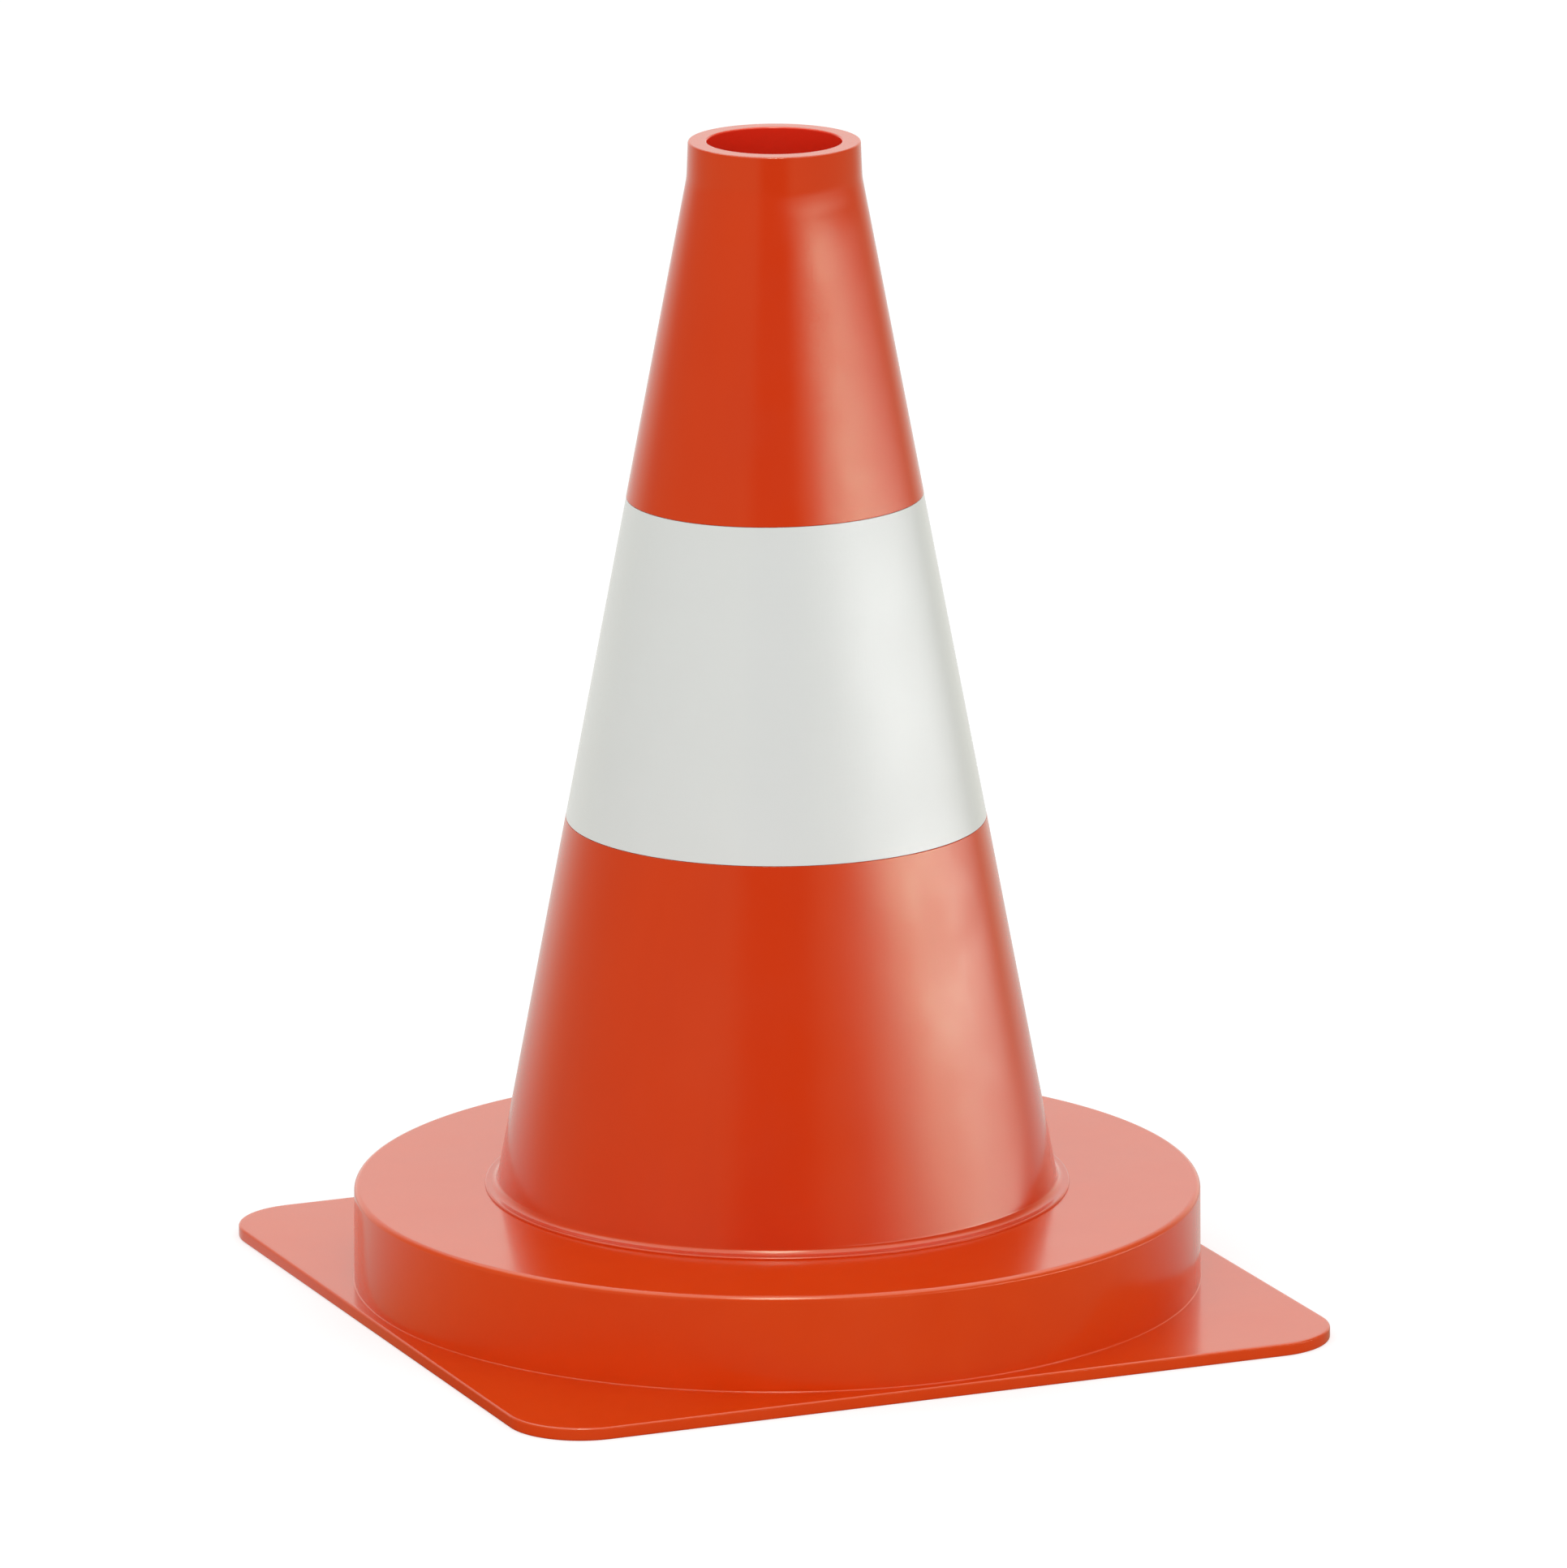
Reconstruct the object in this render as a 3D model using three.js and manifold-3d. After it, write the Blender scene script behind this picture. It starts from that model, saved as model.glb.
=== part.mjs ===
// Small marker cone: a tapered cone with a collar and a wrapped white band, clipped into a round drum
// that stands on a thin square flange. A ballast ring lies in the drum, and a ring plate closes it.
// Millimetres, +Z up. The origin is at the middle of the square flange, on the floor.

import * as THREE from "three";
import { mergeVertices } from "three/addons/utils/BufferGeometryUtils.js";
import Module from "manifold-3d";

// Driving dimensions of the whole cone
const TOTAL_HEIGHT = 320;
const DRUM_TOP_HEIGHT = 29.8;
const CONE_FOOT_RADIUS = 76.9;
const FIT_GAP = 0.3;

// Cone wall and collar
const CONE_WALL = 2.6;
const COLLAR_HEIGHT = 10;
const COLLAR_FOOT_RADIUS = 23.7;
const RIM_RADIUS = 23.3;
const RIM_EDGE_RADIUS = 0.5;
const COLLAR_BORE_RADIUS = 18.2;
const COLLAR_SHOULDER_DROP = 6;

// Foot of the cone: a lip that lies on the drum, and a spigot with snap lugs below it
const FOOT_LIP_RADIUS = 80;
const FOOT_LIP_THICKNESS = 1.6;
const FOOT_LIP_EDGE_RADIUS = 0.3;
const FOOT_FILLET_RADIUS = 0.6;
const DRUM_HOLE_RADIUS = 76.2;
const SPIGOT_WALL = 2.6;
const LUG_COUNT = 8;
const LUG_WIDTH = 16;
const LUG_REACH = 1.7;
const LUG_HEIGHT = 4;
const LUG_FACE = 1.2;

// White band
const BAND_BOTTOM_HEIGHT = 133;
const BAND_TOP_HEIGHT = 222.5;
const FILM_THICKNESS = 0.4;
const FILM_SEAM_GAP = 0.5;

// Drum
const DRUM_RADIUS = 116;
const DRUM_DRAFT = 0.2;
const DRUM_WALL = 3;
const DRUM_EDGE_RADIUS = 1.5;
const DRUM_FOOT_FILLET = 1;
const INNER_SKIRT_RADIUS = 84;
const INNER_SKIRT_WALL = 2.5;
const RIB_COUNT = 12;
const RIB_THICKNESS = 2;
const RIB_DEPTH = 6;

// Square flange
const FLANGE_SIDE = 237.9;
const FLANGE_THICKNESS = 3.5;
const FLANGE_CORNER_RADIUS = 20.6;
const FLANGE_EDGE_RADIUS = 0.6;
const POCKET_DEPTH = 1.2;
const POCKET_MARGIN = 5;
const POCKET_RIB = 6;

// Cover under the drum
const COVER_THICKNESS = 2.4;
const COVER_HOLE_RADIUS = 81.2;
const COVER_SEAT_WIDTH = 1.6;
const COVER_LIP_HEIGHT = 6;
const SNAP_BEAD_HEIGHT = 1.6;
const SNAP_BEAD_REACH = 0.7;
const SNAP_BEAD_RISE = 2.4;
const COVER_POCKET_INNER_RADIUS = 88;
const COVER_POCKET_OUTER_RADIUS = 109;
const COVER_POCKET_DEPTH = 0.8;
const COVER_RIB_THICKNESS = 3;

// Ballast ring
const BALLAST_CHAMFER = 1.5;

// Faces round a full turn, and points on a fillet
const TURN_FACES = 80;
const ARC_POINTS = 3;

const ORANGE = 0xd23c14;
const FILM_WHITE = 0xe6e8e4;
const BALLAST_GREY = 0x3a3a3a;
const COVER_ORANGE = 0xbc3a18;

const wasm = await Module();
wasm.setup();

// Geometry to solid and back, so that solids can be joined and cut.
function solidOf(geometry) {
  const bare = geometry.index ? geometry.toNonIndexed() : geometry.clone();
  bare.deleteAttribute("normal");
  bare.deleteAttribute("uv");
  const merged = mergeVertices(bare, 1e-4);
  return new wasm.Manifold(
    new wasm.Mesh({
      numProp: 3,
      vertProperties: new Float32Array(merged.attributes.position.array),
      triVerts: new Uint32Array(merged.index.array),
    }),
  );
}

function geometryOf(solid) {
  const mesh = solid.getMesh();
  const geometry = new THREE.BufferGeometry();
  geometry.setAttribute("position", new THREE.BufferAttribute(mesh.vertProperties, 3));
  geometry.setIndex(new THREE.BufferAttribute(mesh.triVerts, 1));
  geometry.computeVertexNormals();
  return geometry;
}

// A body turned about Z from a profile of [radius, height] points, given anticlockwise round the section.
// A profile that starts on the axis ends there too, and any other closes on itself.
function turned(points) {
  const profile = points.map(([radius, height]) => new THREE.Vector2(radius, height));
  if (profile[0].x > 0) {
    profile.push(profile[0].clone());
  }
  return new THREE.LatheGeometry(profile, TURN_FACES).rotateX(Math.PI / 2);
}

// Points on an arc about [radius, height], from one angle to another in radians.
function arc(centre, size, from, to, count = ARC_POINTS) {
  const points = [];
  for (let i = 0; i <= count; i += 1) {
    const angle = from + ((to - from) * i) / count;
    points.push([centre[0] + size * Math.cos(angle), centre[1] + size * Math.sin(angle)]);
  }
  return points;
}

// A box from one radius to another, turned about Z by an angle.
function spoke(inner, outer, width, bottom, top, angle) {
  return solidOf(
    new THREE.BoxGeometry(outer - inner, width, top - bottom)
      .translate((inner + outer) / 2, 0, (bottom + top) / 2)
      .rotateZ(angle),
  );
}

// A square plate with round corners, its edges eased by the given radius.
function squarePlate(side, cornerRadius, bottom, top, ease) {
  const half = side / 2;
  const shape = new THREE.Shape();
  shape.moveTo(half, -half + cornerRadius);
  shape.lineTo(half, half - cornerRadius);
  shape.absarc(half - cornerRadius, half - cornerRadius, cornerRadius, 0, Math.PI / 2);
  shape.lineTo(-half + cornerRadius, half);
  shape.absarc(-half + cornerRadius, half - cornerRadius, cornerRadius, Math.PI / 2, Math.PI);
  shape.lineTo(-half, -half + cornerRadius);
  shape.absarc(-half + cornerRadius, -half + cornerRadius, cornerRadius, Math.PI, 1.5 * Math.PI);
  shape.lineTo(half - cornerRadius, -half);
  shape.absarc(half - cornerRadius, -half + cornerRadius, cornerRadius, 1.5 * Math.PI, 2 * Math.PI);
  const plate = new THREE.ExtrudeGeometry(shape, {
    depth: top - bottom - 2 * ease,
    bevelEnabled: ease > 0,
    bevelThickness: ease,
    bevelSize: ease,
    bevelOffset: -ease,
    bevelSegments: 2,
    curveSegments: 12,
  });
  return solidOf(plate.translate(0, 0, bottom + ease));
}

// The cone's outer line, and what is worked out from it
const coneTopHeight = TOTAL_HEIGHT - COLLAR_HEIGHT;
const coneSlope = (CONE_FOOT_RADIUS - COLLAR_FOOT_RADIUS) / (coneTopHeight - DRUM_TOP_HEIGHT);
const coneAngle = Math.atan(coneSlope);
const wallAcross = CONE_WALL / Math.cos(coneAngle);
const recessAcross = (FILM_THICKNESS + FIT_GAP) / Math.cos(coneAngle);
const filmAcross = FILM_THICKNESS / Math.cos(coneAngle);
const coneRadius = (height) => CONE_FOOT_RADIUS - coneSlope * (height - DRUM_TOP_HEIGHT);

// The spigot and the lugs that catch under the drum's top
const spigotRadius = DRUM_HOLE_RADIUS - FIT_GAP;
const catchHeight = DRUM_TOP_HEIGHT - DRUM_WALL;
const lugTop = catchHeight - FIT_GAP;
const spigotBottom = lugTop - LUG_HEIGHT;

// Cone body: collar, taper with a shallow recess for the film, foot lip, spigot.
function coneBody() {
  const lipHeight = DRUM_TOP_HEIGHT + FOOT_LIP_THICKNESS;
  const lipEdgeCentre = [FOOT_LIP_RADIUS - FOOT_LIP_EDGE_RADIUS, lipHeight - FOOT_LIP_EDGE_RADIUS];
  const filletHeight = lipHeight + FOOT_FILLET_RADIUS;
  const filletCentre = [coneRadius(filletHeight) + FOOT_FILLET_RADIUS / Math.cos(coneAngle), filletHeight];
  const shoulderHeight = coneTopHeight - COLLAR_SHOULDER_DROP;
  const profile = [
    [spigotRadius, spigotBottom],
    [spigotRadius, DRUM_TOP_HEIGHT],
    [FOOT_LIP_RADIUS, DRUM_TOP_HEIGHT],
    ...arc(lipEdgeCentre, FOOT_LIP_EDGE_RADIUS, 0, Math.PI / 2),
    ...arc(filletCentre, FOOT_FILLET_RADIUS, 1.5 * Math.PI, Math.PI + coneAngle),
    [coneRadius(BAND_BOTTOM_HEIGHT), BAND_BOTTOM_HEIGHT],
    [coneRadius(BAND_BOTTOM_HEIGHT) - recessAcross, BAND_BOTTOM_HEIGHT],
    [coneRadius(BAND_TOP_HEIGHT) - recessAcross, BAND_TOP_HEIGHT],
    [coneRadius(BAND_TOP_HEIGHT), BAND_TOP_HEIGHT],
    [COLLAR_FOOT_RADIUS, coneTopHeight],
    ...arc([RIM_RADIUS - RIM_EDGE_RADIUS, TOTAL_HEIGHT - RIM_EDGE_RADIUS], RIM_EDGE_RADIUS, 0, Math.PI / 2),
    [COLLAR_BORE_RADIUS, TOTAL_HEIGHT],
    [COLLAR_BORE_RADIUS, coneTopHeight],
    [coneRadius(shoulderHeight) - wallAcross, shoulderHeight],
    [coneRadius(DRUM_TOP_HEIGHT) - wallAcross, DRUM_TOP_HEIGHT],
    [spigotRadius - SPIGOT_WALL, DRUM_TOP_HEIGHT - SPIGOT_WALL],
    [spigotRadius - SPIGOT_WALL, spigotBottom],
  ];
  let body = solidOf(turned(profile));

  const lugRing = solidOf(
    turned([
      [spigotRadius - SPIGOT_WALL / 2, spigotBottom],
      [spigotRadius, spigotBottom],
      [spigotRadius + LUG_REACH, lugTop - LUG_FACE],
      [spigotRadius + LUG_REACH, lugTop],
      [spigotRadius - SPIGOT_WALL / 2, lugTop],
    ]),
  );
  for (let i = 0; i < LUG_COUNT; i += 1) {
    const angle = (2 * Math.PI * i) / LUG_COUNT;
    const reach = 2 * LUG_REACH;
    const sector = spoke(
      spigotRadius - SPIGOT_WALL,
      spigotRadius + reach,
      LUG_WIDTH,
      spigotBottom - LUG_HEIGHT,
      lugTop + LUG_HEIGHT,
      angle,
    );
    body = body.add(lugRing.intersect(sector));
  }
  return geometryOf(body);
}

// White film: one strip rolled round the cone, flush in its recess, its two ends butted at the back.
function reflectiveSleeve() {
  const bottom = BAND_BOTTOM_HEIGHT + FIT_GAP;
  const top = BAND_TOP_HEIGHT - FIT_GAP;
  const strip = solidOf(
    turned([
      [coneRadius(bottom), bottom],
      [coneRadius(top), top],
      [coneRadius(top) - filmAcross, top],
      [coneRadius(bottom) - filmAcross, bottom],
    ]),
  );
  const seam = spoke(0, 2 * CONE_FOOT_RADIUS, FILM_SEAM_GAP, 0, TOTAL_HEIGHT, Math.PI / 2);
  return geometryOf(strip.subtract(seam));
}

// Base shell: flange and drum in one, with the hub ring, the inner skirt, ribs and corner pockets.
const drumInnerRadius = DRUM_RADIUS - DRUM_WALL;
const skirtOuterRadius = INNER_SKIRT_RADIUS + INNER_SKIRT_WALL;
const seatRadius = drumInnerRadius + COVER_SEAT_WIDTH;
const beadHeight = COVER_THICKNESS + SNAP_BEAD_RISE;
const beadRoot = INNER_SKIRT_RADIUS - FIT_GAP;

function baseShell() {
  const edgeCentre = [DRUM_RADIUS - DRUM_DRAFT - DRUM_EDGE_RADIUS, DRUM_TOP_HEIGHT - DRUM_EDGE_RADIUS];
  const footCentre = [DRUM_RADIUS + DRUM_FOOT_FILLET, FLANGE_THICKNESS + DRUM_FOOT_FILLET];
  const flangeMiddle = FLANGE_THICKNESS / 2;
  const drum = solidOf(
    turned([
      [INNER_SKIRT_RADIUS, flangeMiddle],
      [footCentre[0], flangeMiddle],
      ...arc(footCentre, DRUM_FOOT_FILLET, 1.5 * Math.PI, Math.PI),
      ...arc(edgeCentre, DRUM_EDGE_RADIUS, 0, Math.PI / 2),
      [DRUM_HOLE_RADIUS, DRUM_TOP_HEIGHT],
      [DRUM_HOLE_RADIUS, catchHeight],
      [INNER_SKIRT_RADIUS, catchHeight],
    ]),
  );
  const opening = solidOf(
    turned([
      [0, -FLANGE_THICKNESS],
      [seatRadius, -FLANGE_THICKNESS],
      [seatRadius, COVER_THICKNESS],
      [0, COVER_THICKNESS],
    ]),
  );
  const middle = solidOf(
    turned([
      [0, 0],
      [INNER_SKIRT_RADIUS, 0],
      [INNER_SKIRT_RADIUS, beadHeight - FIT_GAP],
      [INNER_SKIRT_RADIUS + SNAP_BEAD_REACH, beadHeight],
      [INNER_SKIRT_RADIUS + SNAP_BEAD_REACH, beadHeight + SNAP_BEAD_HEIGHT],
      [INNER_SKIRT_RADIUS, beadHeight + SNAP_BEAD_HEIGHT + SNAP_BEAD_REACH],
      [INNER_SKIRT_RADIUS, catchHeight],
      [0, catchHeight],
    ]),
  );
  const cavity = solidOf(
    turned([
      [skirtOuterRadius, 0],
      [drumInnerRadius, 0],
      [drumInnerRadius - DRUM_DRAFT, catchHeight],
      [skirtOuterRadius, catchHeight],
    ]),
  );
  let hollow = cavity;
  for (let i = 0; i < RIB_COUNT; i += 1) {
    const angle = (2 * Math.PI * (i + 0.5)) / RIB_COUNT;
    const rib = spoke(
      INNER_SKIRT_RADIUS,
      DRUM_RADIUS,
      RIB_THICKNESS,
      catchHeight - RIB_DEPTH,
      DRUM_TOP_HEIGHT,
      angle,
    );
    hollow = hollow.subtract(rib);
  }

  const pocketSide = FLANGE_SIDE - 2 * POCKET_MARGIN;
  let pockets = squarePlate(
    pocketSide,
    FLANGE_CORNER_RADIUS - POCKET_MARGIN,
    -POCKET_DEPTH,
    POCKET_DEPTH,
    0,
  );
  pockets = pockets.subtract(
    solidOf(
      turned([
        [0, -FLANGE_THICKNESS],
        [DRUM_RADIUS + POCKET_MARGIN, -FLANGE_THICKNESS],
        [DRUM_RADIUS + POCKET_MARGIN, FLANGE_THICKNESS],
        [0, FLANGE_THICKNESS],
      ]),
    ),
  );
  for (let i = 0; i < 4; i += 1) {
    const angle = Math.PI / 4 + (i * Math.PI) / 2;
    const rib = spoke(0, FLANGE_SIDE, POCKET_RIB, -FLANGE_THICKNESS, FLANGE_THICKNESS, angle);
    pockets = pockets.subtract(rib);
  }

  const flange = squarePlate(FLANGE_SIDE, FLANGE_CORNER_RADIUS, 0, FLANGE_THICKNESS, FLANGE_EDGE_RADIUS);
  return geometryOf(
    flange.add(drum).subtract(opening).subtract(middle).subtract(hollow).subtract(pockets),
  );
}

// Base cover: ring plate in the drum's mouth, with a lip that snaps into the inner skirt's groove.
function baseCover() {
  let cover = solidOf(
    turned([
      [COVER_HOLE_RADIUS, 0],
      [seatRadius - FIT_GAP, 0],
      [seatRadius - FIT_GAP, COVER_THICKNESS],
      [beadRoot, COVER_THICKNESS],
      [beadRoot, beadHeight],
      [beadRoot + SNAP_BEAD_REACH, beadHeight + FIT_GAP],
      [beadRoot + SNAP_BEAD_REACH, beadHeight + SNAP_BEAD_HEIGHT - FIT_GAP],
      [beadRoot, beadHeight + SNAP_BEAD_HEIGHT],
      [beadRoot, COVER_THICKNESS + COVER_LIP_HEIGHT],
      [COVER_HOLE_RADIUS, COVER_THICKNESS + COVER_LIP_HEIGHT],
    ]),
  );
  let pocket = solidOf(
    turned([
      [COVER_POCKET_INNER_RADIUS, -COVER_POCKET_DEPTH],
      [COVER_POCKET_OUTER_RADIUS, -COVER_POCKET_DEPTH],
      [COVER_POCKET_OUTER_RADIUS, COVER_POCKET_DEPTH],
      [COVER_POCKET_INNER_RADIUS, COVER_POCKET_DEPTH],
    ]),
  );
  for (let i = 0; i < RIB_COUNT; i += 1) {
    const angle = (2 * Math.PI * (i + 0.5)) / RIB_COUNT;
    const rib = spoke(
      INNER_SKIRT_RADIUS,
      DRUM_RADIUS,
      COVER_RIB_THICKNESS,
      -COVER_THICKNESS,
      COVER_THICKNESS,
      angle,
    );
    pocket = pocket.subtract(rib);
  }
  cover = cover.subtract(pocket);
  return geometryOf(cover);
}

// Ballast ring: lies on the cover, below the ribs of the drum's top.
function ballastRing() {
  const inner = skirtOuterRadius + FIT_GAP;
  const outer = drumInnerRadius - DRUM_DRAFT - FIT_GAP;
  const bottom = COVER_THICKNESS;
  const top = catchHeight - RIB_DEPTH - FIT_GAP;
  return turned([
    [inner, bottom],
    [outer, bottom],
    [outer, top - BALLAST_CHAMFER],
    [outer - BALLAST_CHAMFER, top],
    [inner + BALLAST_CHAMFER, top],
    [inner, top - BALLAST_CHAMFER],
  ]);
}

function piece(name, geometry, color, roughness) {
  const mesh = new THREE.Mesh(geometry, new THREE.MeshStandardMaterial({ color, roughness, metalness: 0 }));
  mesh.name = name;
  return mesh;
}

const markerCone = new THREE.Group();
markerCone.add(
  piece("base_cover", baseCover(), COVER_ORANGE, 0.45),
  piece("ballast_ring", ballastRing(), BALLAST_GREY, 0.9),
  piece("base_shell", baseShell(), ORANGE, 0.2),
  piece("cone_body", coneBody(), ORANGE, 0.2),
  piece("reflective_sleeve", reflectiveSleeve(), FILM_WHITE, 0.3),
);

export default markerCone;
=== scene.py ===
# Looks of a small marker cone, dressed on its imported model. Metres, +Z up, floor at zero height.

import math

import bpy
import numpy as np
from mathutils import Matrix, Vector


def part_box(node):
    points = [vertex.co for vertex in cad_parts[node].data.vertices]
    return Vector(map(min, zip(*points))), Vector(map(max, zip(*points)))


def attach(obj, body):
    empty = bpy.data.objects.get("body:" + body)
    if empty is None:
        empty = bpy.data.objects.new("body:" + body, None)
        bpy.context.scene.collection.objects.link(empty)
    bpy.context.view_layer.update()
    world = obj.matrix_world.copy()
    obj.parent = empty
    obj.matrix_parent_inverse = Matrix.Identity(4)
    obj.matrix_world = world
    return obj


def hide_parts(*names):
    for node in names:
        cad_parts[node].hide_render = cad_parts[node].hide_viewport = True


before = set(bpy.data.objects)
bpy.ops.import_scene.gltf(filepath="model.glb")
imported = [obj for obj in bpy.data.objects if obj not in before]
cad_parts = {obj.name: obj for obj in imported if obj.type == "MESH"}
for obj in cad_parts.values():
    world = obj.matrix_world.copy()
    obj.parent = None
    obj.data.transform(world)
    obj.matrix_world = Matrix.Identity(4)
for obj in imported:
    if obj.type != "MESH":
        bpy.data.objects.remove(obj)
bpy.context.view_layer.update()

# Camera, as the cone was photographed: a long lens from in front, slightly above, with the flange turned.
# The cone's axis is the aim. Angles are given in degrees.
TOTAL_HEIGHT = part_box("cone_body")[1].z
CAMERA_DISTANCE = 12.0 * TOTAL_HEIGHT
CAMERA_HEIGHT = 3.4323 * TOTAL_HEIGHT
CAMERA_AZIMUTH = math.radians(-22.97)
CAMERA_PITCH = math.radians(13.99)
CAMERA_PAN = math.radians(0.03)
CAMERA_ROLL = math.radians(-0.155)
CAMERA_LENS = 334.2
CAMERA_REACH = 50.0
SENSOR = 36.0
UP = Vector((0, 0, 1))

toward_camera = Vector((math.sin(CAMERA_AZIMUTH), -math.cos(CAMERA_AZIMUTH), 0.0))
rightward = Vector((math.cos(CAMERA_AZIMUTH), math.sin(CAMERA_AZIMUTH), 0.0))
heading = rightward * math.sin(CAMERA_PAN) - toward_camera * math.cos(CAMERA_PAN)
forward = heading * math.cos(CAMERA_PITCH) - UP * math.sin(CAMERA_PITCH)
level = forward.cross(UP).normalized()
upright = level.cross(forward)
camera_right = level * math.cos(CAMERA_ROLL) + upright * math.sin(CAMERA_ROLL)
camera_up = upright * math.cos(CAMERA_ROLL) - level * math.sin(CAMERA_ROLL)

lens = bpy.data.cameras.new("camera")
lens.sensor_width = SENSOR
lens.lens = CAMERA_LENS
lens.clip_end = CAMERA_REACH
camera = bpy.data.objects.new("camera", lens)
camera.matrix_world = Matrix(
    (
        (camera_right.x, camera_up.x, -forward.x, toward_camera.x * CAMERA_DISTANCE),
        (camera_right.y, camera_up.y, -forward.y, toward_camera.y * CAMERA_DISTANCE),
        (camera_right.z, camera_up.z, -forward.z, CAMERA_HEIGHT),
        (0, 0, 0, 1),
    )
)
bpy.context.scene.collection.objects.link(camera)
bpy.context.scene.camera = camera

# Cone body: one glossy orange-red moulding with its collar, a taper, a shallow recess for the white film,
# a foot with a thin lip that lies on the drum, and a spigot that snaps into the drum's hole.
CONE_TURN_STEPS = 256
CONE_LONGEST_SIDE = 0.010
COLLAR_FOOT_HEIGHT = 0.310
COLLAR_EASE = 0.020
RIM_RADIUS = 0.0233
RIM_EDGE = 0.0005
COLLAR_FOOT_RADIUS = 0.0237
BORE_RADIUS = 0.0182
SHOULDER_HEIGHT = 0.304
SHOULDER_EASE = 0.002
CONE_FOOT_RADIUS = 0.0769
CONE_WALL_ACROSS = 0.00265
INNER_FOOT_EASE = 0.001
DRUM_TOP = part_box("base_shell")[1].z
LIP_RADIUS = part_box("cone_body")[1].x
LIP_THICKNESS = 0.0007
LIP_EDGE = 0.0005
FOOT_FILLET = 0.0020
SPIGOT_RADIUS = 0.0759
SPIGOT_WALL = 0.0026
SPIGOT_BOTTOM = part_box("cone_body")[0].z
SPIGOT_EDGE = 0.0004
LUG_COUNT = 8
LUG_HALF_WIDTH = 0.008
LUG_REACH = 0.0017
LUG_HEIGHT = 0.004
LUG_FACE = 0.0012
LUG_START = 0.0005
LUG_ARC_STEPS = 9
RECESS_GAP = 0.0003
RECESS_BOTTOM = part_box("reflective_sleeve")[0].z - RECESS_GAP
RECESS_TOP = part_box("reflective_sleeve")[1].z + RECESS_GAP
RECESS_DEPTH = 0.00045
RECESS_EDGE = 0.0001
FILM_TILT = 0.0005
FILM_TILT_REACH = 0.030
ARC_STEPS = 12
SUPPORT_SHARE = 0.15
SHARP_ANGLE = 35.0

CONE_SLOPE = (CONE_FOOT_RADIUS - COLLAR_FOOT_RADIUS) / (COLLAR_FOOT_HEIGHT - DRUM_TOP)
LIP_TOP = DRUM_TOP + LIP_THICKNESS
SPIGOT_INNER = SPIGOT_RADIUS - SPIGOT_WALL


def cone_radius(height):
    """The cone's outer line: the foot's radius less the slope times the height above the drum."""
    return CONE_FOOT_RADIUS - CONE_SLOPE * (height - DRUM_TOP)


def eased_outline(corners, arc_steps=ARC_STEPS):
    """A closed outline from corners (radius, height, ease). Each corner with an ease is replaced by an arc
    of that size, tangent to both sides: its points are the centre plus the arc's size times a direction
    that turns evenly from one tangent point to the other. A point on each side, a little beyond the arc,
    keeps the shading of the flat face next to it flat."""
    points = []
    count = len(corners)
    for i, (radius, height, ease) in enumerate(corners):
        corner = np.array((radius, height))
        if ease == 0:
            points.append(corner[None])
            continue
        back = np.array(corners[i - 1][:2]) - corner
        ahead = np.array(corners[(i + 1) % count][:2]) - corner
        back = back / np.linalg.norm(back)
        ahead = ahead / np.linalg.norm(ahead)
        half = 0.5 * math.acos(float(np.clip(back @ ahead, -1, 1)))
        middle = back + ahead
        centre = corner + middle / np.linalg.norm(middle) * ease / math.sin(half)
        first = corner + back * ease / math.tan(half) - centre
        last = corner + ahead * ease / math.tan(half) - centre
        share = np.linspace(0, 1, arc_steps + 1)[:, None]
        opening = math.pi - 2 * half
        turned = np.sin((1 - share) * opening) * first + np.sin(share * opening) * last
        turned = turned / math.sin(opening)
        support = SUPPORT_SHARE * ease
        points.append((centre + turned[0] + back * support)[None])
        points.append(centre + turned)
        points.append((centre + turned[-1] + ahead * support)[None])
    return np.concatenate(points)


def split_long_sides(outline, longest):
    """The same closed outline with every side longer than the given length cut into even steps: a point is
    the side's start plus its share of the side."""
    side = np.roll(outline, -1, axis=0) - outline
    steps = np.maximum(1, np.ceil(np.linalg.norm(side, axis=1) / longest)).astype(int)
    first = np.cumsum(steps) - steps
    owner = np.repeat(np.arange(len(outline)), steps)
    share = (np.arange(steps.sum()) - first[owner]) / steps[owner]
    return outline[owner] + share[:, None] * side[owner]


def ring_faces(rows, columns, joined=True):
    """Quads of a grid whose rows close on themselves, wound so that they face away from the section. When
    joined, the last column meets the first one too."""
    i, j = np.meshgrid(np.arange(rows), np.arange(columns if joined else columns - 1), indexing="ij")
    following_i = (i + 1) % rows
    following_j = (j + 1) % columns
    quads = (
        i * columns + j,
        i * columns + following_j,
        following_i * columns + following_j,
        following_i * columns + j,
    )
    return np.stack(quads, axis=-1).reshape(-1, 4)


def mesh_object(name, points, faces, material):
    """A smooth-shaded object from an array of points and a list of faces. Its sharp edges stay crisp."""
    mesh = bpy.data.meshes.new(name)
    mesh.from_pydata(points.reshape(-1, 3).tolist(), [], faces)
    mesh.polygons.foreach_set("use_smooth", np.ones(len(mesh.polygons), bool))
    mesh.set_sharp_from_angle(angle=math.radians(SHARP_ANGLE))
    mesh.materials.append(material)
    mesh.validate()
    mesh.update()
    piece = bpy.data.objects.new(name, mesh)
    bpy.context.scene.collection.objects.link(piece)
    return piece


def carried_round(radius, height, angle):
    """Points of a section carried round Z: at angle a they are radius times (cos a, sin a), and height."""
    height = height + 0 * angle
    return np.stack((radius * np.cos(angle), radius * np.sin(angle), height), axis=-1)


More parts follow.
